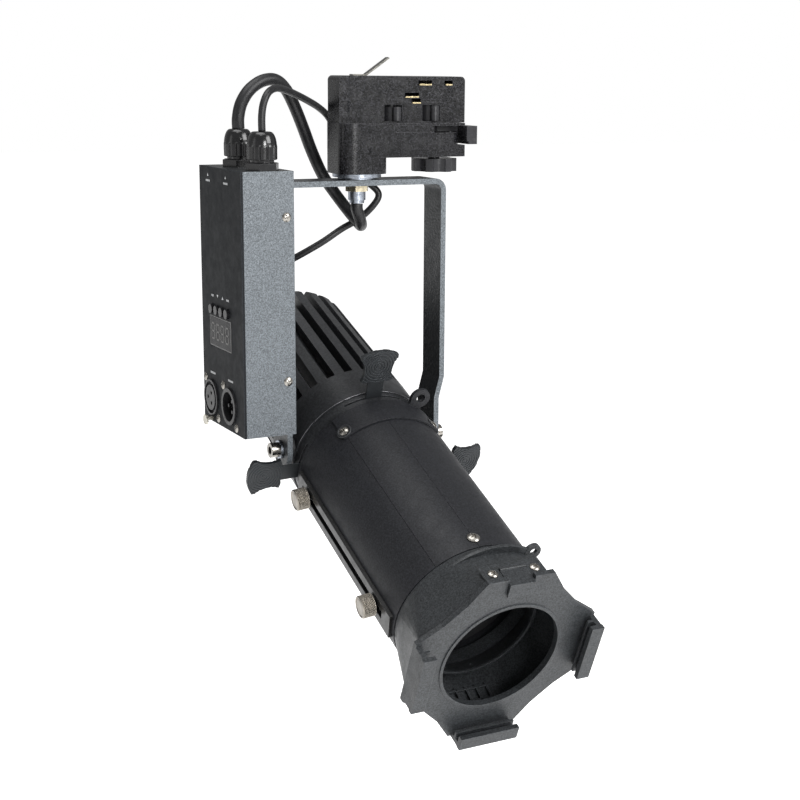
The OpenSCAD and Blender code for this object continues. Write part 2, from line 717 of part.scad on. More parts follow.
module cover_screws() {
    color("silver") in_lamp() for (a = cover_screw_a) around(a)
        translate([barrel_r + cover_t, 0, cover_screw_s]) rotate([0, 90, 0]) pan_screw(3.2, 1.6, 1.6, 3.2);
}

// one half of the barrel, from the seam at angle a0
module barrel_half(a0) {
    in_lamp() difference() {
        translate([0, 0, gate_front]) arc_wall(barrel_r, barrel_r - barrel_wall, barrel_end - gate_front,
            a0 + 0.12, a0 + 179.88);
        for (a = cover_screw_a) around(a) translate([barrel_r, 0, cover_screw_s]) rotate([0, 90, 0])
            cylinder(r = 1.65, h = 10, center = true);
        // way in for the pattern holder, under the cover
        translate([0, 0, 22]) arc_wall(barrel_r + 2, barrel_r - 5, 9, 62, 118);
        around(rail_angle) translate([barrel_r - 9, -slot_w / 2, slot_s0]) cube([20, slot_w, slot_s1 - slot_s0]);
        translate([0, 0, cover_s1]) arc_wall(barrel_r + 2, barrel_r - 0.5, barrel_end, 128.3, 128.8);
        around(seam_angle) translate([barrel_r, 0, barrel_end - 8]) rotate([0, 90, 0])
            cylinder(r = 2.1, h = 10, center = true);
    }
}
module barrel_left() { color([0.15, 0.15, 0.17]) barrel_half(seam_angle); }
module barrel_right() { color([0.15, 0.15, 0.17]) barrel_half(seam_angle + 180); }

module barrel_screw() {
    color("silver") in_lamp() around(seam_angle) translate([barrel_r + 0.1, 0, barrel_end - 8])
        rotate([0, 90, 0]) pan_screw(4, 2, 2, 4);
}

module focus_rail() {
    color("dimgray") in_lamp() around(rail_angle) difference() {
        translate([barrel_r - 3, -rail_w / 2, 21]) cube([3 + rail_t - 0.4, rail_w, barrel_end - 3 - 21]);
        cylinder(r = barrel_r + 0.05, h = barrel_end + 10, $fn = 360);
        translate([barrel_r - 9, -slot_w / 2, slot_s0 - 4]) cube([20, slot_w, slot_s1 - slot_s0 + 8]);
    }
}

module pivot_bolts() {
    color("silver") translate([0, 0, pivot_z]) for (i = [-1, 1]) rotate([0, 90 * i, 0]) {
        translate([0, 0, bolt_start]) cylinder(r = pivot_r, h = leg_low_x + 1.7 - bolt_start);
        translate([0, 0, leg_low_x + 1.6]) difference() {
            cylinder(r = 5, h = 6);
            translate([0, 0, 2.4]) cylinder(r = 2.9, h = 5, $fn = 6);
        }
    }
}

module pivot_washers() {
    color("silver") translate([0, 0, pivot_z]) for (i = [-1, 1]) rotate([0, 90 * i, 0])
        translate([0, 0, leg_low_x + gap]) tube(6.2, pivot_r + 0.05, 1.3);
}

module carriage(s, lens_r) {
    r = carriage_r;
    in_lamp() translate([0, 0, s - carriage_l / 2]) {
        difference() {
            union() {
                cylinder(r = r, h = carriage_l);
                around(rail_angle) translate([r - 6, 0, carriage_l / 2]) rotate([0, 90, 0])
                    cylinder(r = slot_w / 2 - gap, h = barrel_r + rail_t - r + 6);
            }
            translate([0, 0, -1]) cylinder(r = lens_r - 2, h = carriage_l + 2);
            translate([0, 0, 3]) cylinder(r = lens_r + 0.05, h = carriage_l);
            around(rail_angle) translate([r - 5, 0, carriage_l / 2]) rotate([0, 90, 0])
                cylinder(r = 1.5 + run_fit, h = 20);
        }
        translate([0, 0, 8.1]) tube(lens_r + 0.06, lens_r - 2.4, carriage_l - 8.1);
    }
}

module lens(s, lens_r, bulge) {
    rr = (lens_r * lens_r + bulge * bulge) / (2 * bulge);
    in_lamp() translate([0, 0, s - carriage_l / 2 + 3]) {
        rotate_extrude() union() {
            square([lens_r, 5]);
            intersection() {
                translate([0, 5 + bulge - rr]) circle(rr, $fn = 180);
                translate([0, 5 - eps]) square([lens_r - 2.6, 20]);
            }
        }
    }
}

module thumbscrew(s) {
    color([0.35, 0.34, 0.32]) in_lamp() around(rail_angle)
        translate([barrel_r + rail_t + knob_gap, 0, s]) rotate([0, 90, 0]) {
            difference() {
                cylinder(r = knob_r, h = knob_h);
                translate([0, 0, knob_h - 0.6]) tube(knob_r - 1.1, knob_r - 1.6, 2);
            }
            translate([0, 0, -9]) cylinder(r = 1.5, h = 9 + eps);
        }
}

module rear_lens_carriage() { color([0.1, 0.1, 0.11]) carriage(rear_carriage_s, rear_lens_r); }
module rear_lens() { color([0.8, 0.9, 1, 0.4]) lens(rear_carriage_s, rear_lens_r, 7); }
module rear_thumbscrew() { thumbscrew(rear_carriage_s); }
module front_lens_carriage() { color([0.1, 0.1, 0.11]) carriage(front_carriage_s, front_lens_r); }
module front_lens() { color([0.8, 0.9, 1, 0.4]) lens(front_carriage_s, front_lens_r, 8); }
module front_thumbscrew() { thumbscrew(front_carriage_s); }

// outline of the holder's face: four arms with slanted shoulders between them
module holder_outline(d) {
    a = arm_w - d;
    b = arm_reach - d;
    c = arm_w + 10.5 - d;
    e = arm_reach - 15 - d;
    polygon([[a, b], [c, e], [e, c], [b, a], [b, -a], [e, -c], [c, -e], [a, -b],
        [-a, -b], [-c, -e], [-e, -c], [-b, -a], [-b, a], [-e, c], [-c, e], [-a, b]]);
}

module octagon(d) {
    a = arm_w - d / 2;
    b = arm_reach - d;
    polygon([[a, b], [b, a], [b, -a], [a, -b], [-a, -b], [-b, -a], [-b, a], [-a, b]]);
}

// one of the three double channels that hold a colour frame
module channel() {
    len = 40;
    s = holder_s;
    translate([arm_reach - 3.4, -len / 2, s - plate_t]) cube([3.4, len, plate_t + lip_out]);
    translate([arm_reach - 7, -len / 2, s + 3.5]) cube([7, len, 1.6]);
    translate([arm_reach - 8, -len / 2, s + lip_out - 3.4]) cube([8.6, len, 3.4]);
}

module front_holder() {
    color([0.2, 0.2, 0.21]) in_lamp() difference() {
        union() {
            difference() {
                hull() {
                    translate([0, 0, barrel_end + 0.4]) cylinder(r = barrel_r - 0.4, h = 1.5, $fn = 48);
                    translate([0, 0, holder_s - plate_t - 1]) linear_extrude(1) octagon(body_step);
                }
                hull() {
                    translate([0, 0, barrel_end - 1]) cylinder(r = barrel_r - 3, h = 2, $fn = 48);
                    translate([0, 0, holder_s - plate_t - 2]) linear_extrude(2.1) octagon(body_step + 3);
                }
            }
            translate([0, 0, holder_s - plate_t]) linear_extrude(plate_t) holder_outline(0);
            // spigot inside the barrel
            translate([0, 0, barrel_end - 10]) tube(barrel_r - barrel_wall - 0.05, barrel_r - barrel_wall - 2.4, 12);
            for (a = [0, 180, 270]) around(a) channel();
            translate([0, 0, holder_s - eps]) tube(aperture_r + 2, aperture_r - 1, 0.7);
            // cone that shades the front lens
            rotate_extrude() polygon([[barrel_r - 3, barrel_end], [barrel_r - 1.6, barrel_end + 1.5],
                [39.5, barrel_end + 15], [38, barrel_end + 15], [38, barrel_end + 13.5],
                [barrel_r - 4.4, barrel_end]]);
            // safety eye
            around(57) translate([barrel_r + 5, 0, barrel_end + 6]) cylinder(r = 5.4, h = 2.4);
            around(57) translate([barrel_r - 3, -4, barrel_end + 6]) cube([8, 8, 2.4]);
        }
        translate([0, 0, holder_s - plate_t - 4]) cylinder(r = aperture_r, h = plate_t + 8);
        around(57) translate([barrel_r + 5.4, 0, barrel_end]) cylinder(r = front_eye_r, h = 20);
        for (i = [-1, 1]) translate([i * 14, clip_v + 1, clip_screw_s]) rotate([90, 0, 0])
            cylinder(r = 1.65, h = 8);
        translate([-clip_w / 2 - gap, clip_v - 0.2, holder_s - plate_t - 1]) cube([clip_w + 2 * gap, 20, 20]);
        around(seam_angle) translate([barrel_r, 0, barrel_end - 8]) rotate([0, 90, 0])
            cylinder(r = 2.05, h = 10, center = true);
    }
}

module clip_plate() {
    color([0.12, 0.12, 0.13]) in_lamp() translate([0, clip_v + 0.05, clip_screw_s - 8]) difference() {
        translate([-arm_w + 2, 0, 0]) cube([2 * arm_w - 4, clip_t, 14.4]);
        translate([-clip_w / 2 - gap, -1, 4.4]) cube([clip_w + 2 * gap, 4, 20]);
        for (i = [-1, 1]) translate([i * 14, -1, 8]) rotate([-90, 0, 0]) cylinder(r = 1.7, h = 4);
    }
}

module clip_screws() {
    color("silver") in_lamp() for (i = [-1, 1])
        translate([i * 14, clip_v + clip_t + 0.05, clip_screw_s]) rotate([-90, 0, 0])
            pan_screw(3.1, 1.6, 1.6, 5);
}

// sprung flap over the open end of the channels, hinged at its back edge
module frame_clip() {
    y = clip_v + 0.4;
    color([0.2, 0.2, 0.21]) in_lamp() translate([-clip_w / 2, y, 0]) {
        translate([0, 0, clip_screw_s - 3]) cube([clip_w, clip_t, holder_s + clip_out - clip_screw_s + 3]);
        translate([0, -8, holder_s + clip_out - clip_t]) cube([clip_w, 8 + clip_t, clip_t]);
        translate([0, clip_t, clip_screw_s - 2.2]) rotate([0, 90, 0]) cylinder(r = 1.1, h = clip_w);
    }
}

adapter_base();
adapter_track_body();
earth_spring();
track_contacts();
seat_washers();
mounting_nipple();
nipple_nut();
cable_ferrule();
lock_lever();
rear_cam();
selector_wheel();
yoke_bracket();
driver_case();
driver_panel();
case_screws();
driver_board();
display_module();
button_1();
button_2();
button_3();
button_4();
xlr_female();
xlr_male();
xlr_screws();
xlr_latch();
gland_power();
gland_led();
power_cable();
led_cable();
rear_housing();
lamp_gland();
led_module();
reflector();
condenser_lens();
gate_ring();
gate_cover();
cover_screws();
barrel_left();
barrel_right();
barrel_screw();
focus_rail();
pivot_bolts();
pivot_washers();
shutter_top();
shutter_right();
shutter_bottom();
shutter_left();
rear_lens_carriage();
rear_lens();
rear_thumbscrew();
front_lens_carriage();
front_lens();
front_thumbscrew();
front_holder();
clip_plate();
clip_screws();
frame_clip();
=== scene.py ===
"""Looks for the ellipsoidal profile spotlight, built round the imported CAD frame.

Metres, +Z up, light towards -Y.
"""

import json
import math

import bmesh
import bpy
from mathutils import Matrix, Vector


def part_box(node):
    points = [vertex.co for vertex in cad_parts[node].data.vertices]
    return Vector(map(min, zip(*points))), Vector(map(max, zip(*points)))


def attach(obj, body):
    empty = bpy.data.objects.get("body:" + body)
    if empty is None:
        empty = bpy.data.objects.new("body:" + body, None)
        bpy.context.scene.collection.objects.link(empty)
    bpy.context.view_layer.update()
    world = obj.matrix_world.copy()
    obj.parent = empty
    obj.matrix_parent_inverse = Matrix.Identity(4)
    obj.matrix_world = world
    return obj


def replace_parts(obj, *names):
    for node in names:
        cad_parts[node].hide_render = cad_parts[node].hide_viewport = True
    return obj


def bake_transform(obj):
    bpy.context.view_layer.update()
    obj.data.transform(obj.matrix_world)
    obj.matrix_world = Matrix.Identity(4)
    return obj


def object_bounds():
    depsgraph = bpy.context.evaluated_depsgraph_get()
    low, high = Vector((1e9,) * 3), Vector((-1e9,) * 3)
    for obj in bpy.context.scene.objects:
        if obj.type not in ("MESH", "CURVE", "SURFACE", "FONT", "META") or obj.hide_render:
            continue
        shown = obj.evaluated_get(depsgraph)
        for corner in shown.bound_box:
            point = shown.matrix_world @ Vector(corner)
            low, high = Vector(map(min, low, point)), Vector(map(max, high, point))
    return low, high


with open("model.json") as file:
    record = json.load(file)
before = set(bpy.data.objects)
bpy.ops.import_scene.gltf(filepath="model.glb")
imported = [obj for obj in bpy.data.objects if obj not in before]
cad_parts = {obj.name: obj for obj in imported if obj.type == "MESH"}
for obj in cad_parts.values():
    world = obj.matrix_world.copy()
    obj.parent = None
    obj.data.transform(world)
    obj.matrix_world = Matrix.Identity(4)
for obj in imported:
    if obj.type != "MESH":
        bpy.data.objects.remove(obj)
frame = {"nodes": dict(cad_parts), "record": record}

MM = 0.001
X, Y, Z = Vector((1, 0, 0)), Vector((0, 1, 0)), Vector((0, 0, 1))
cad_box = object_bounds()
joints = {j["name"]: j for j in frame["record"]["behaviour"]["joints"]}
slots = {s["node"]: s["material_slot"] for s in frame["record"]["subparts"]}

# ---------- places taken from the frame ----------

BEAM = Vector(joints["front_focus_slide"]["axis"]).normalized()
TILT = math.asin(-BEAM.z)
PIVOT = Vector(joints["tilt"]["pos_m"])
PIVOT_RISE = 4.2 * MM
LAMP = (Matrix.Translation(PIVOT - PIVOT_RISE * Z)
        @ Matrix.Rotation(math.pi / 2 + TILT, 4, "X"))
TUBE_R = 49.4 * MM


def in_lamp(u, v, s):
    """A point given across (u), up (v) and along (s) the lamp's axis, in the row frame."""
    return LAMP @ Vector((u, v, s))


def round_lamp(radius, angle, s):
    """A point given by radius, angle in degrees and place along the lamp's axis."""
    a = math.radians(angle)
    return in_lamp(radius * math.cos(a), radius * math.sin(a), s)


def outward(angle):
    """Unit vector that points away from the lamp's axis at this angle."""
    a = math.radians(angle)
    return (LAMP.to_3x3() @ Vector((math.cos(a), math.sin(a), 0))).normalized()


# ---------- camera ----------

CAMERA_AT = Vector((-0.43991, -0.93209, 0.03745))
CAMERA_TURN = 29.3045
CAMERA_DROP = 12.5394
CAMERA_ROLL = 0.7967
CAMERA_LENS = 69.78
CAMERA_SENSOR = 36
CAMERA_SHIFT_X = -0.0800
CAMERA_SHIFT_Y = 0.0127
CAMERA_NEAR = 0.01


def make_camera():
    az, el, roll = (math.radians(a) for a in (CAMERA_TURN, CAMERA_DROP, CAMERA_ROLL))
    ahead = Vector((math.sin(az) * math.cos(el), math.cos(az) * math.cos(el), -math.sin(el)))
    right = Vector((math.cos(az), -math.sin(az), 0))
    up = right.cross(ahead)
    across = right * math.cos(roll) + up * math.sin(roll)
    above = up * math.cos(roll) - right * math.sin(roll)
    data = bpy.data.cameras.new("camera")
    data.lens = CAMERA_LENS
    data.sensor_width = CAMERA_SENSOR
    data.shift_x = CAMERA_SHIFT_X
    data.shift_y = CAMERA_SHIFT_Y
    data.clip_start = CAMERA_NEAR
    camera = bpy.data.objects.new("camera", data)
    bpy.context.collection.objects.link(camera)
    turn = Matrix((across, above, -ahead)).transposed().to_4x4()
    camera.matrix_world = Matrix.Translation(CAMERA_AT) @ turn
    bpy.context.scene.camera = camera


make_camera()

# ---------- materials ----------

SHARP_EDGE = (0.86, 0.99)  # how far a rounded normal may lean before the edge is lightened, as wear and painted highlight
PATCH_SCALE = 38
GLOSS_SCALE = 120
GLOSS_SWING = 0.07


class Shader:
    """A node material with short helpers. Patterns run in object coordinates, in metres."""

    def __init__(self, name):
        self.material = bpy.data.materials.new(name)
        self.material.use_nodes = True
        self.tree = self.material.node_tree
        self.tree.nodes.clear()
        self.surface = self.add("ShaderNodeBsdfPrincipled")
        output = self.add("ShaderNodeOutputMaterial")
        self.link(self.surface.outputs[0], output.inputs["Surface"])
        self.place = self.add("ShaderNodeTexCoord").outputs["Object"]

    def add(self, kind, **settings):
        node = self.tree.nodes.new(kind)
        for key, value in settings.items():
            setattr(node, key, value)
        return node

    def link(self, a, b):
        self.tree.links.new(a, b)

    def put(self, **values):
        """Sets the shader's own sockets. An underscore stands for a space."""
        for key, value in values.items():
            self.surface.inputs[key.replace("_", " ")].default_value = value

    def noise(self, scale, detail=2.0, rough=0.5):
        node = self.add("ShaderNodeTexNoise")
        node.inputs["Scale"].default_value = scale
        node.inputs["Detail"].default_value = detail
        node.inputs["Roughness"].default_value = rough
        self.link(self.place, node.inputs["Vector"])
        return node.outputs["Fac"]

    def cells(self, scale, smooth=0.6):
        node = self.add("ShaderNodeTexVoronoi", feature="SMOOTH_F1")
        node.inputs["Scale"].default_value = scale
        node.inputs["Smoothness"].default_value = smooth
        self.link(self.place, node.inputs["Vector"])
        return node.outputs["Distance"]

    def spread(self, value, low, high, start=0.35, end=0.65):
        """Maps a pattern to a range of plain values."""
        node = self.add("ShaderNodeMapRange")
        sockets = ("From Min", "From Max", "To Min", "To Max")
        for key, number in zip(sockets, (start, end, low, high)):
            node.inputs[key].default_value = number
        self.link(value, node.inputs["Value"])
        return node.outputs["Result"]

    def blend(self, factor, first, second):
        """Mixes two colours by a pattern. first may be a colour or another mix."""
        node = self.add("ShaderNodeMix", data_type="RGBA")
        self.link(factor, node.inputs["Factor"])
        for socket, value in ((node.inputs[6], first), (node.inputs[7], second)):
            if isinstance(value, tuple):
                socket.default_value = (*value, 1)
            else:
                self.link(value, socket)
        return node.outputs[2]

    def relief(self, height, strength, distance, normal):
        node = self.add("ShaderNodeBump")
        node.inputs["Strength"].default_value = strength
        node.inputs["Distance"].default_value = distance
        self.link(height, node.inputs["Height"])
        self.link(normal, node.inputs["Normal"])
        return node.outputs["Normal"]

    def edges(self, radius):
        """Rounded-edge normal, and a mask that is 1 on sharp outside edges."""
        soft = self.add("ShaderNodeBevel", samples=4)
        soft.inputs["Radius"].default_value = radius
        flat = self.add("ShaderNodeNewGeometry")
        dot = self.add("ShaderNodeVectorMath", operation="DOT_PRODUCT")
        self.link(soft.outputs["Normal"], dot.inputs[0])
        self.link(flat.outputs["Normal"], dot.inputs[1])
        mask = self.spread(dot.outputs["Value"], 1.0, 0.0, *SHARP_EDGE)
        return soft.outputs["Normal"], mask

    def facing_y(self):
        """How squarely a face looks along its object's Y axis, either way."""
        split = self.add("ShaderNodeSeparateXYZ")
        self.link(self.add("ShaderNodeTexCoord").outputs["Normal"], split.inputs[0])
        size = self.add("ShaderNodeMath", operation="ABSOLUTE")
        self.link(split.outputs["Y"], size.inputs[0])
        return size.outputs[0]

    def colour(self, socket):
        self.link(socket, self.surface.inputs["Base Color"])

    def roughness(self, socket):
        self.link(socket, self.surface.inputs["Roughness"])

    def normal(self, socket):
        self.link(socket, self.surface.inputs["Normal"])


def shade(colour, factor):
    return tuple(min(1.0, c * factor) for c in colour)


def surface(name, colour, rough, metal=0.0, grain=900, depth=0.00003, strength=0.3, mottle=0.12,
            edge=0.0003, wear_and_highlight=1.25, specular=0.35, hammered=False, fleck=0.0, fleck_grain=620,
            side_shade=None):
    """A moulded, cast or painted finish: mottle, uneven gloss, grain, and softened edges lightened
    as wear and painted highlight.

    The last argument is painted shade: a darker colour given to faces that don't look along the
    object's Y axis.
    """
    m = Shader(name)
    m.put(Metallic=metal, Specular_IOR_Level=specular)
    round_normal, mask = m.edges(edge)
    patches = m.spread(m.noise(PATCH_SCALE, 4, 0.6), 0, 1, 0.3, 0.7)
    body = m.blend(patches, shade(colour, 1 - mottle), shade(colour, 1 + mottle))
    specks = m.spread(m.noise(grain * 1.6, 1), 0, 0.35, 0.55, 0.75)
    body = m.blend(specks, body, shade(colour, 1.6))
    if fleck:
        coarse = m.noise(fleck_grain, 2, 0.7)
        pale, dark = m.spread(coarse, 0, 1, 0.5, 0.66), m.spread(coarse, 1, 0, 0.34, 0.5)
        body = m.blend(pale, body, shade(colour, 1 + fleck))
        body = m.blend(dark, body, shade(colour, max(0.0, 1 - fleck * 0.8)))
    # painted shade: faces that don't look along the object's Y axis take the darker colour
    if side_shade:
        body = m.blend(m.spread(m.facing_y(), 1, 0, 0.5, 0.7), body, side_shade)
    # sharp edges lightened: partly wear, partly a painted highlight
    m.colour(m.blend(mask, body, shade(colour, wear_and_highlight)))
    m.roughness(m.spread(m.noise(GLOSS_SCALE, 5, 0.7), max(0.03, rough - GLOSS_SWING),
                         min(1.0, rough + GLOSS_SWING)))
    height = m.cells(grain) if hammered else m.noise(grain, 3, 0.6)
    m.normal(m.relief(height, strength, depth, round_normal))
    return m.material


def brushed(name, colour, rough, stretch):
    """Drawn or turned metal: fine lines across one direction."""
    m = Shader(name)
    m.put(Metallic=1.0)
    scale = m.add("ShaderNodeMapping")
    scale.inputs["Scale"].default_value = stretch
    m.link(m.place, scale.inputs["Vector"])
    lines = m.add("ShaderNodeTexNoise")
    lines.inputs["Scale"].default_value = 1.0
    lines.inputs["Detail"].default_value = 4
    m.link(scale.outputs["Vector"], lines.inputs["Vector"])
    round_normal, mask = m.edges(0.0002)
    streaks = m.spread(lines.outputs["Fac"], 0, 1)
    body = m.blend(streaks, shade(colour, 0.8), shade(colour, 1.15))
    # sharp edges lightened 1.4 times: partly wear, partly a painted highlight
    m.colour(m.blend(mask, body, shade(colour, 1.4)))
    m.roughness(m.spread(m.noise(300, 3), rough - 0.06, rough + 0.08))
    m.normal(m.relief(lines.outputs["Fac"], 0.15, 0.00002, round_normal))
    return m.material


def glass(name, tint):
    m = Shader(name)
    m.put(Base_Color=(*tint, 1), IOR=1.5, Transmission_Weight=1.0)
    m.roughness(m.spread(m.noise(60, 3), 0.01, 0.06))
    return m.material


# the edge factor below lightens sharp edges: partly wear, partly a painted highlight
SURFACES = {
    "adapter_black": dict(colour=(0.0035, 0.0035, 0.004), rough=0.24, grain=2300, depth=0.00012,
                          strength=0.6, specular=0.3, wear_and_highlight=16.0, mottle=0.3, fleck=7.0,
                          fleck_grain=1050),
    "cam_plastic": dict(colour=(0.02, 0.02, 0.022), rough=0.24, grain=1200, strength=0.15,
                        wear_and_highlight=2.0),
    # yoke_paint darkens faces that don't look along Y: painted shade on the yoke's sides
    "yoke_paint": dict(colour=(0.094, 0.105, 0.115), rough=0.42, metal=0.2, grain=620,
                       depth=0.0004, strength=0.5, mottle=0.06, wear_and_highlight=1.4, hammered=True,
                       fleck=0.55, fleck_grain=1250, side_shade=(0.022, 0.024, 0.026)),
    "panel_paint": dict(colour=(0.007, 0.008, 0.0095), rough=0.6, grain=1400, strength=0.2,
                        wear_and_highlight=9.0, edge=0.0004, specular=0.12),
    "board_green": dict(colour=(0.02, 0.16, 0.07), rough=0.4, grain=500),
    "display_glass": dict(colour=(0.002, 0.002, 0.003), rough=0.3, grain=300, strength=0.03,
                          specular=0.1),
    "connector_black": dict(colour=(0.009, 0.009, 0.01), rough=0.36, grain=1300, strength=0.25,
                            wear_and_highlight=3.5),
    "button_black": dict(colour=(0.006, 0.006, 0.007), rough=0.25, grain=1300, strength=0.2,
                         wear_and_highlight=6.0, edge=0.0004),
    "cable_jacket": dict(colour=(0.008, 0.008, 0.009), rough=0.42, grain=1800, strength=0.2),
    "sink_black": dict(colour=(0.02, 0.021, 0.023), rough=0.4, metal=0.2, grain=1300,
                       strength=0.3, wear_and_highlight=3.0, fleck=0.5, fleck_grain=700),
    "barrel_paint": dict(colour=(0.011, 0.0115, 0.0135), rough=0.48, grain=1500, depth=0.00006,
                         strength=0.4, wear_and_highlight=2.0, specular=0.22, fleck=0.6, fleck_grain=1000),
    "blade_black": dict(colour=(0.016, 0.018, 0.02), rough=0.42, metal=0.3, grain=1500,
                        strength=0.25, wear_and_highlight=3.0),
    "casting_grey": dict(colour=(0.021, 0.023, 0.025), rough=0.44, metal=0.1, grain=900,
                         depth=0.0001, strength=0.4, mottle=0.15, wear_and_highlight=2.6, fleck=0.8,
                         fleck_grain=1000),
    "led_white": dict(colour=(0.75, 0.72, 0.6), rough=0.6, grain=900),
    "carriage_black": dict(colour=(0.012, 0.012, 0.013), rough=0.6, grain=1100, strength=0.3),
    "rail_black": dict(colour=(0.012, 0.012, 0.012), rough=0.35, metal=0.3, grain=1200, wear_and_highlight=7.0,
                       edge=0.0004),
    "gland_black": dict(colour=(0.006, 0.006, 0.0065), rough=0.2, grain=900, strength=0.1,
                        specular=0.5, wear_and_highlight=4.0),
    "segment": dict(colour=(0.045, 0.043, 0.04), rough=0.3, grain=400, strength=0.05, wear_and_highlight=1.1),
    "bezel": dict(colour=(0.1, 0.1, 0.1), rough=0.35, grain=600, strength=0.1),
    "print_white": dict(colour=(0.5, 0.51, 0.52), rough=0.5, grain=800, strength=0.05, wear_and_highlight=1.0),
}
METALS = {  # colour, roughness and how fine the lines are along X, Y and Z
    "contact_metal": ((0.6, 0.5, 0.3), 0.25, (900, 60, 900)),
    "spring_steel": ((0.16, 0.155, 0.14), 0.3, (60, 900, 900)),
    "zinc_steel": ((0.34, 0.37, 0.42), 0.3, (200, 200, 2500)),
    "brass_nut": ((0.62, 0.55, 0.4), 0.3, (300, 300, 1500)),
    "connector_metal": ((0.5, 0.48, 0.42), 0.3, (500, 500, 500)),
    "gunmetal": ((0.25, 0.23, 0.2), 0.34, (700, 700, 300)),
    "chrome_screw": ((0.3, 0.285, 0.26), 0.24, (300, 300, 300)),
    "reflector_metal": ((0.85, 0.85, 0.85), 0.1, (200, 200, 200)),
    "bare_edge": ((0.16, 0.16, 0.17), 0.3, (400, 400, 400)),
}
finishes = {name: surface(name, **look) for name, look in SURFACES.items()}
finishes.update((name, brushed(name, *look)) for name, look in METALS.items())
finishes["optic_glass"] = glass("optic_glass", (0.95, 0.98, 1.0))

SPECIAL = {"focus_rail": "rail_black"}  # nodes whose finish differs from their slot's
for name, obj in frame["nodes"].items():
    obj.data.materials.clear()
    obj.data.materials.append(finishes[SPECIAL.get(name, slots[name])])

# ---------- mesh helpers ----------


def add_object(name, bm, material):
    mesh = bpy.data.meshes.new(name)
    bm.to_mesh(mesh)
    bm.free()
    mesh.materials.append(material)
    obj = bpy.data.objects.new(name, mesh)
    bpy.context.collection.objects.link(obj)
    return obj


def piece(name, bm, finish, body=None, smooth=False):
    """Makes an object from a bmesh, gives it a finish and lets it ride on a body."""
    bmesh.ops.recalc_face_normals(bm, faces=bm.faces)
    obj = add_object(name, bm, finishes[finish])
    if smooth:
        obj.data.shade_smooth()
    else:
        obj.data.shade_flat()
    if body:
        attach(obj, body)
    return obj


def skin(bm, rings, hollow=False):
    """Joins rings of points or vertices with faces.

    A hollow skin closes on its first ring. Any other gets a flat face at each end.
    """
    rings = [[bm.verts.new(point) for point in ring] for ring in rings]
    after = rings[1:] + rings[:1] if hollow else rings[1:]
    for low, high in zip(rings, after):
        for k in range(len(low)):
            n = (k + 1) % len(low)
            bm.faces.new((low[k], low[n], high[n], high[k]))
    if not hollow:
        bm.faces.new(rings[0])
        bm.faces.new(rings[-1])


def circle(centre, side, up, radius, steps):
    """Points round a centre. radius is a length, or a function that gives one for an angle."""
    points = []
    for k in range(steps):
        a = 2 * math.pi * k / steps
        reach = radius(a) if callable(radius) else radius
        points.append(centre + reach * (side * math.cos(a) + up * math.sin(a)))
    return points


def curve_points(route, steps):
    """Catmull-Rom points through a route given in millimetres."""
    p = [Vector(q) * MM for q in route]
    line = []
    for i in range(len(p) - 1):
        a, b, c, d = p[max(i - 1, 0)], p[i], p[i + 1], p[min(i + 2, len(p) - 1)]
        for k in range(steps):
            t = k / steps
            line.append(0.5 * (2 * b + (c - a) * t + (2 * a - 5 * b + 4 * c - d) * t * t
                               + (3 * b - a - 3 * c + d) * t ** 3))
    return line + [p[-1]]


def tube(line, radius, sides):
    """A bmesh tube along a line, with flat ends."""
    side = Y
    rings = []
    for i, point in enumerate(line):
        ahead = (line[min(i + 1, len(line) - 1)] - line[max(i - 1, 0)]).normalized()
        side = (side - ahead * side.dot(ahead)).normalized()
        rings.append(circle(point, side, ahead.cross(side), radius, sides))
    bm = bmesh.new()
    skin(bm, rings)
    return bm


# ---------- cords ----------

CORD_STEPS = 6
CORD_SIDES = 20
POWER_CABLE_D = 8 * MM
POWER_ROUTE = [(-77, 13, -3.8), (-77, 13, 3), (-74.5, 13.5, 12), (-68, 15, 20.5), (-58, 18, 26),
               (-48, 21, 26.5), (-39.5, 24, 20.5), (-32, 27, 9), (-25, 29.5, -5), (-18, 32, -20),
               (-9.5, 33.5, -36), (-1, 32, -48.5), (6, 27, -59.5), (9, 19.5, -66),
               (8.5, 12, -68.3), (5.5, 5.5, -65.8), (2, 1.2, -60.5), (0, 0, -56), (0, 0, -52.6)]
LED_CABLE_D = 4.6 * MM
LED_ROUTE = [(-77, -27, -3.9), (-77, -27, 5), (-75.5, -26.5, 13), (-71, -23.5, 19.5),
             (-63, -17, 22), (-53, -9, 20.5), (-42, 0, 17.5), (-30, 9.5, 13.5), (-19, 17.5, 9),
             (-10, 23, 3), (-4, 26.5, -6), (-2, 28, -16), (3, 28, -27), (12, 26, -36),
             (22, 23, -43), (26.5, 21.5, -49), (23, 22, -56), (14.6, 26.4, -65.2),
             (3, 31, -72.5), (-9, 33.5, -80.5), (-21, 38, -88), (-31, 46, -95), (-37, 60, -101),
             (-39, 78, -105), (-38, 98, -109), (-34, 117, -114), (-28, 132, -122),
             (-22.5, 139, -132), (-17, 137.3, -142.4), (-15, 129.6, -146.4)]


def make_cord(name, node, route, diameter):
    line = curve_points(route, CORD_STEPS)
    obj = piece(name, tube(line, diameter / 2, CORD_SIDES), "cable_jacket", smooth=True)
    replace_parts(obj, node)
    return obj


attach(make_cord("power_cable_skin", "power_cable", POWER_ROUTE, POWER_CABLE_D), "yoke")
led_cable = make_cord("led_cable_skin", "led_cable", LED_ROUTE, LED_CABLE_D)
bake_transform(led_cable)

# ---------- stage ----------

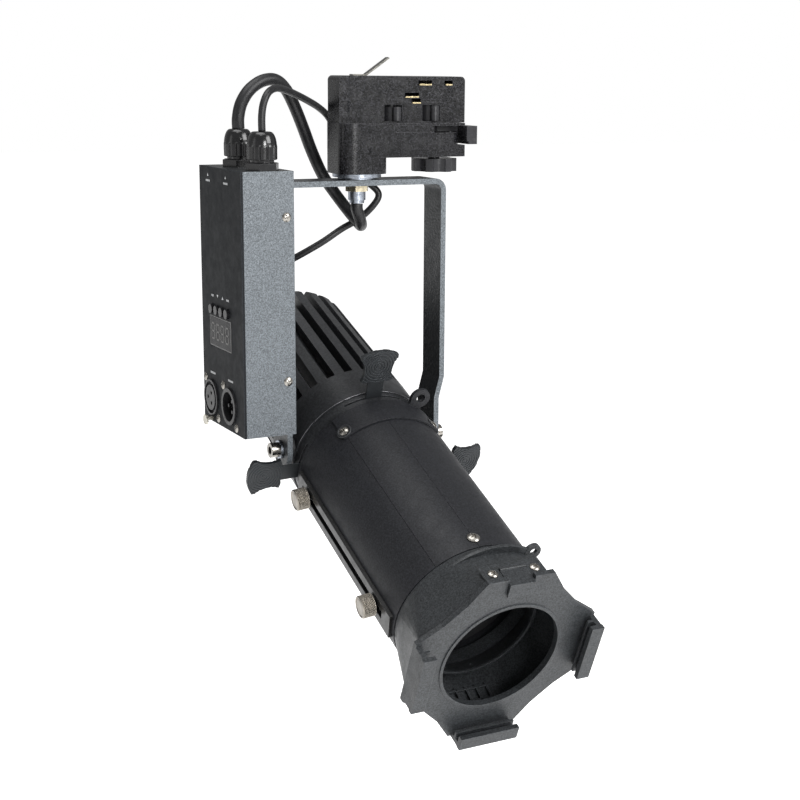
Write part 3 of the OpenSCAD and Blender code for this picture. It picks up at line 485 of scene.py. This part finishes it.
WORLD_LIGHT = 0.38
FLOOR_DROP = 0.35
FLOOR_HALF = 12
FLOOR_GLOW = 0.72
LIGHTS = {  # place, size and power
    "key": ((1.0, -1.5, 0.8), (1.1, 1.1), 36),
    "top": ((-0.3, -0.1, 1.7), (1.6, 1.2), 26),
    "left": ((-1.7, -0.1, 0.1), (0.5, 1.4), 2.5),
    "fill": ((-0.02, -2.0, 0.3), (0.5, 0.5), 22),
    "low": ((0.2, -1.5, -0.9), (1.4, 0.6), 7),
}


def area_light(name, at, size, energy, target):
    data = bpy.data.lights.new(name, "AREA")
    data.shape = "RECTANGLE"
    data.size, data.size_y = size
    data.energy = energy
    obj = bpy.data.objects.new(name, data)
    bpy.context.collection.objects.link(obj)
    obj.location = at
    obj.rotation_euler = (target - Vector(at)).to_track_quat("-Z", "Y").to_euler()


def make_floor(z):
    bm = bmesh.new()
    bmesh.ops.create_grid(bm, x_segments=1, y_segments=1, size=FLOOR_HALF,
                          matrix=Matrix.Translation((0, 0, z)))
    m = Shader("floor_white")
    m.colour(m.blend(m.noise(3, 2), (0.93, 0.93, 0.93), (0.97, 0.97, 0.97)))
    m.put(Roughness=0.9, Emission_Strength=FLOOR_GLOW, Emission_Color=(1, 1, 1, 1))
    add_object("floor", bm, m.material)


def make_world():
    """A white backdrop that lights the object less than the camera sees of it."""
    world = bpy.data.worlds.new("studio")
    world.use_nodes = True
    nodes, links = world.node_tree.nodes, world.node_tree.links
    backdrop = nodes["Background"]
    backdrop.inputs["Color"].default_value = (1, 1, 1, 1)
    strength = nodes.new("ShaderNodeMapRange")
    strength.inputs["To Min"].default_value = WORLD_LIGHT
    strength.inputs["To Max"].default_value = 1.0
    seen = nodes.new("ShaderNodeLightPath").outputs["Is Camera Ray"]
    links.new(seen, strength.inputs["Value"])
    links.new(strength.outputs["Result"], backdrop.inputs["Strength"])
    bpy.context.scene.world = world


def make_stage():
    low, high = (Vector(p) for p in cad_box)
    make_floor(low.z - FLOOR_DROP)
    for name, (at, size, energy) in LIGHTS.items():
        area_light(name, at, size, energy, (low + high) / 2)
    make_world()
    bpy.context.scene.view_settings.view_transform = "Standard"


make_stage()

# ---------- knurled thumbscrews ----------

RAIL_ANGLE = 188
REAR_KNOB_S = 38 * MM
FRONT_KNOB_S = 145 * MM
KNOB_BASE = TUBE_R + 2.6 * MM
KNOB_STEPS = 180
KNURLS = 30
KNURL_DEPTH = 0.65
KNURL_LEAN = 0.55
KNURL_ROWS = 30
KNOB_FOOT = [(0.0, 6.4), (0.5, 7.15)]
KNOB_RIM = [(0.9 + 6.8 * k / KNURL_ROWS, 7.2) for k in range(KNURL_ROWS + 1)]
KNOB_END = [(8.1, 7.15), (8.6, 6.6), (8.6, 6.1), (8.2, 5.9), (8.2, 5.2), (8.45, 5.0), (8.5, 1.2)]
SHAFT_R = 1.5 * MM
SHAFT_ENDS = (-9 * MM, 0.1 * MM)


def knurl_cut(a, height):
    """Depth in millimetres of the two crossing sets of grooves."""
    turn, lean = KNURLS * a / (2 * math.pi), height * KNURL_LEAN
    left, right = (abs((turn + way * lean) % 1 - 0.5) * 2 for way in (1, -1))
    return KNURL_DEPTH * max(left, right) ** 1.5


def knurled_knob(name, node, body, s):
    """A turned knob with a diamond-knurled rim, a chamfer and a recessed ring on its end."""
    axis = outward(RAIL_ANGLE)
    up = axis.cross(BEAM)
    start = round_lamp(KNOB_BASE, RAIL_ANGLE, s)

    def ring(height, radius):
        return circle(start + axis * height * MM, BEAM, up, radius, KNOB_STEPS)

    rings = [ring(h, r * MM) for h, r in KNOB_FOOT]
    rings += [ring(h, lambda a, h=h, r=r: (r - knurl_cut(a, h)) * MM) for h, r in KNOB_RIM]
    rings += [ring(h, r * MM) for h, r in KNOB_END]
    bm = bmesh.new()
    skin(bm, rings)
    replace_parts(piece(name, bm, "gunmetal", body), node)
    shaft = tube([start + axis * end for end in SHAFT_ENDS], SHAFT_R, 24)
    piece(name + "_shaft", shaft, "gunmetal", body, smooth=True)


knurled_knob("rear_knurled_knob", "rear_thumbscrew", "rear_knob", REAR_KNOB_S)
knurled_knob("front_knurled_knob", "front_thumbscrew", "front_knob", FRONT_KNOB_S)

# ---------- display ----------

DISPLAY_Y = 3 * MM
DIGITS = 4
DIGIT_PITCH = 8.3 * MM
DIGIT_W, DIGIT_H = 5.2 * MM, 10 * MM
SEGMENT_W, SEGMENT_THICK = 1.1 * MM, 0.08 * MM
UPRIGHT_GAP, LEVEL_GAP = 0.7 * MM, 0.5 * MM
SEGMENTS = [(0, 1, False), (0.5, 0.5, True), (0.5, -0.5, True), (0, -1, False),
            (-0.5, -0.5, True), (-0.5, 0.5, True), (0, 0, False)]
BEZEL_Y, BEZEL_Z, BEZEL_BAND = 18.4 * MM, 9.6 * MM, 1.1 * MM
BEZEL_SINK = 0.38 * MM
BEZEL_PROFILE = [(0.0, 0.0), (0.0, 0.25), (0.5, 0.45), (1.0, 0.0)]  # share of the band, rise


def bar(bm, centre, along, across, out, length):
    """A six-sided bar, pointed at both ends, raised along out."""
    half, side = length / 2, SEGMENT_W / 2
    outline = [(-half, 0), (-half + side, side), (half - side, side), (half, 0),
               (half - side, -side), (-half + side, -side)]
    skin(bm, [[centre + along * x + across * y + out * rise for x, y in outline]
              for rise in (0, SEGMENT_THICK)])


def make_display():
    low, high = (Vector(p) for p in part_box("display_module"))
    centre = Vector((low.x, DISPLAY_Y, (low.z + high.z) / 2))
    bm = bmesh.new()
    for k in range(DIGITS):
        middle = centre + Y * ((DIGITS - 1) / 2 - k) * DIGIT_PITCH
        for x, y, upright in SEGMENTS:
            at = middle - Y * x * DIGIT_W + Z * y * DIGIT_H / 2
            if upright:
                bar(bm, at, Z, Y, -X, DIGIT_H / 2 - UPRIGHT_GAP)
            else:
                bar(bm, at, Y, Z, -X, DIGIT_W - LEVEL_GAP)
    piece("display_digits", bm, "segment", "yoke")

    rings = []
    for share, rise in BEZEL_PROFILE:
        y, z = (half + (share - 0.5) * BEZEL_BAND for half in (BEZEL_Y, BEZEL_Z))
        x = BEZEL_SINK - rise * MM
        rings.append([centre + Vector((x, a, b)) for a, b in ((-y, -z), (y, -z), (y, z), (-y, z))])
    bm = bmesh.new()
    skin(bm, rings, hollow=True)
    piece("display_bezel", bm, "bezel", "yoke")


make_display()

# ---------- edge of the gate, and washers under the cover's screws ----------

GATE_EDGE_R = TUBE_R + 0.05 * MM
GATE_EDGE_S = 6.3 * MM
GATE_EDGE_WIRE = 0.22 * MM
GATE_EDGE_ARC = (20, 165)
GATE_EDGE_STEPS = 96
PAD_S = 33.5 * MM
PAD_R = TUBE_R + 1.4 * MM
PAD_SINK = 0.3
PAD_PROFILE = [(5.2, 0.0), (5.2, 0.5), (4.8, 0.8), (3.4, 0.7), (3.4, 0.0)]
PAD_STEPS = 40


def make_gate_edge():
    start, end = GATE_EDGE_ARC
    angles = [start + (end - start) * k / GATE_EDGE_STEPS for k in range(GATE_EDGE_STEPS + 1)]
    line = [round_lamp(GATE_EDGE_R, angle, GATE_EDGE_S) for angle in angles]
    piece("gate_edge", tube(line, GATE_EDGE_WIRE, 8), "bare_edge", "lamp", smooth=True)


def screw_pad(name, angle):
    """A dark round washer under a screw's head, dished towards its middle."""
    axis, at = outward(angle), round_lamp(PAD_R, angle, PAD_S)
    up = axis.cross(BEAM)
    bm = bmesh.new()
    skin(bm, [circle(at + axis * (h - PAD_SINK) * MM, BEAM, up, r * MM, PAD_STEPS)
              for r, h in PAD_PROFILE], hollow=True)
    piece(name, bm, "sink_black", "lamp", smooth=True)


make_gate_edge()
screw_pad("cover_pad_left", 128)
screw_pad("cover_pad_right", 47.5)

# ---------- cable glands ----------

GLAND_TALL = 23.7 * MM
GLAND_THREAD_R = 7.5
GLAND_FOOT_FLAT = 9.46  # from the middle to a flat of the hexagon
GLAND_CAP_R = 9.4
GLAND_GROOVE = 0.75
GLAND_GROOVE_START = 0.62
GLAND_CAP_END = 14.6
GLAND_DOME = 9.1
GLAND_MOUTH_R, GLAND_DOME_R = 5.2, 4.0
GLAND_DOME_ROWS = 11
GLAND_STEPS = 144


def hexagon(a):
    return GLAND_FOOT_FLAT / math.cos(math.radians(math.degrees(a) % 60 - 30))


def ribbed(a):
    phase = abs((math.degrees(a) / 30) % 1 - 0.5) * 2
    return GLAND_CAP_R - GLAND_GROOVE * max(0.0, (phase - GLAND_GROOVE_START)
                                            / (1 - GLAND_GROOVE_START))


def gland_nut(name, node, y):
    """A cable gland: round thread, hexagonal foot, neck, ribbed cap nut and domed top."""
    low, high = (Vector(p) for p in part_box(node))
    foot = high.z - GLAND_TALL
    rows = [(low.z - foot, GLAND_THREAD_R), (0, GLAND_THREAD_R)]
    rows += [(h * MM, r) for h, r in ((0, hexagon), (4.6, hexagon), (5, 8.9), (5, 7.4), (6.6, 7.4),
                                      (6.6, 8.8), (7, ribbed), (GLAND_CAP_END, ribbed))]
    for k in range(1, GLAND_DOME_ROWS + 1):
        t = math.pi / 2 * k / GLAND_DOME_ROWS
        rows.append(((GLAND_CAP_END + GLAND_DOME * math.sin(t)) * MM,
                     GLAND_MOUTH_R + GLAND_DOME_R * math.cos(t)))
    rings = []
    for h, r in rows:
        centre = Vector(((low.x + high.x) / 2, y, min(foot + h, high.z)))
        rings.append(circle(centre, X, Y,
                            lambda a, r=r: (r(a) if callable(r) else r) * MM, GLAND_STEPS))
    bm = bmesh.new()
    skin(bm, rings)
    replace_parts(piece(name, bm, "gland_black", "yoke"), node)


gland_nut("gland_power_nut", "gland_power", 13 * MM)
gland_nut("gland_led_nut", "gland_led", -26.8 * MM)

# ---------- plain printed marks on the panel ----------

MARK_THICK = 0.06 * MM
DASH_PITCH, DASH_HALF, DASH_TALL = 1.5, 0.5, 1.3
TRIANGLE_TALL = 1.6  # as a share of its half width
GLAND_MARKS_Y = (21, -10.5)
SOCKET_MARKS_Y = (19, -13)
SOCKET_MARKS_Z = 32.5
BUTTON_MARKS_Z = 84


def make_marks():
    """Triangles and rows of bars, in millimetres across (y) and up (z) from the panel's foot."""
    low, high = (Vector(p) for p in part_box("driver_panel"))
    top = (high.z - low.z) / MM
    bm = bmesh.new()

    def mark(outline):
        skin(bm, [[Vector((x, y * MM, low.z + z * MM)) for y, z in outline]
                  for x in (low.x, low.x - MARK_THICK)])

    def triangle(y, z, half, way):
        mark([(y - half, z), (y + half, z), (y, z + way * half * TRIANGLE_TALL)])

    def dashes(y, z, count):
        for k in range(count):
            at = y + (k - (count - 1) / 2) * DASH_PITCH
            left, right = at - DASH_HALF, at + DASH_HALF
            mark([(left, z), (right, z), (right, z + DASH_TALL), (left, z + DASH_TALL)])

    for y in GLAND_MARKS_Y:
        triangle(y, top - 6, 1.1, 1)
        dashes(y, top - 9.5, 5)
    dashes(16.8, BUTTON_MARKS_Z, 3)
    triangle(7.7, BUTTON_MARKS_Z + 2, 1.3, -1)
    triangle(-1.4, BUTTON_MARKS_Z, 1.3, 1)
    dashes(-10.5, BUTTON_MARKS_Z, 3)
    for y in SOCKET_MARKS_Y:
        dashes(y, SOCKET_MARKS_Z, 6)
    piece("panel_marks", bm, "print_white", "yoke")


make_marks()

# ---------- ribs cast inside the front holder ----------

HOLDER_BACK, HOLDER_DEEP = 171, 38
HOLDER_BACK_R, HOLDER_FRONT_R = 46.4, 53
RIB_ROOT = 0.3
RIB_TALL = 1.6
LONG_RIBS_U = (-14, -7, 0, 7, 14)
LONG_RIB_HALF = 0.7
LONG_RIB_ENDS = (188, 206)
CROSS_RIBS_S = (189, 198)
CROSS_RIB_LONG = 1.4


def make_holder_ribs():
    bm = bmesh.new()

    def wall(s):
        return HOLDER_BACK_R + (HOLDER_FRONT_R - HOLDER_BACK_R) * (s - HOLDER_BACK) / HOLDER_DEEP

    def rib(u0, u1, s0, s1):
        shape = [(-wall(s0) - RIB_ROOT, s0), (-wall(s1) - RIB_ROOT, s1),
                 (-wall(s1) + RIB_TALL, s1), (-wall(s0) + RIB_TALL, s0)]
        skin(bm, [[in_lamp(u * MM, v * MM, s * MM) for v, s in shape] for u in (u0, u1)])

    for u in LONG_RIBS_U:
        rib(u - LONG_RIB_HALF, u + LONG_RIB_HALF, *LONG_RIB_ENDS)
    for s in CROSS_RIBS_S:
        rib(LONG_RIBS_U[0], LONG_RIBS_U[-1], s, s + CROSS_RIB_LONG)
    piece("holder_ribs", bm, "casting_grey", "lamp")


make_holder_ribs()

# ---------- flange that runs from the clip to the safety eye ----------

FLANGE_START, FLANGE_SWEEP = 60, 62
FLANGE_INNER_R, FLANGE_LOW_R = 49.0, 50.4
FLANGE_RISE = 4.6
FLANGE_ENDS = (176.2, 178.2)
FLANGE_STEPS = 40


def make_flange():
    back, front = FLANGE_ENDS
    rings = []
    for k in range(FLANGE_STEPS + 1):
        t = k / FLANGE_STEPS
        outer = FLANGE_LOW_R + FLANGE_RISE * (1 - t * t)
        corners = ((FLANGE_INNER_R, back), (outer, back), (outer, front), (FLANGE_INNER_R, front))
        rings.append([round_lamp(radius * MM, FLANGE_START + FLANGE_SWEEP * t, s * MM)
                      for radius, s in corners])
    bm = bmesh.new()
    skin(bm, rings)
    piece("holder_flange", bm, "casting_grey", "lamp")


make_flange()
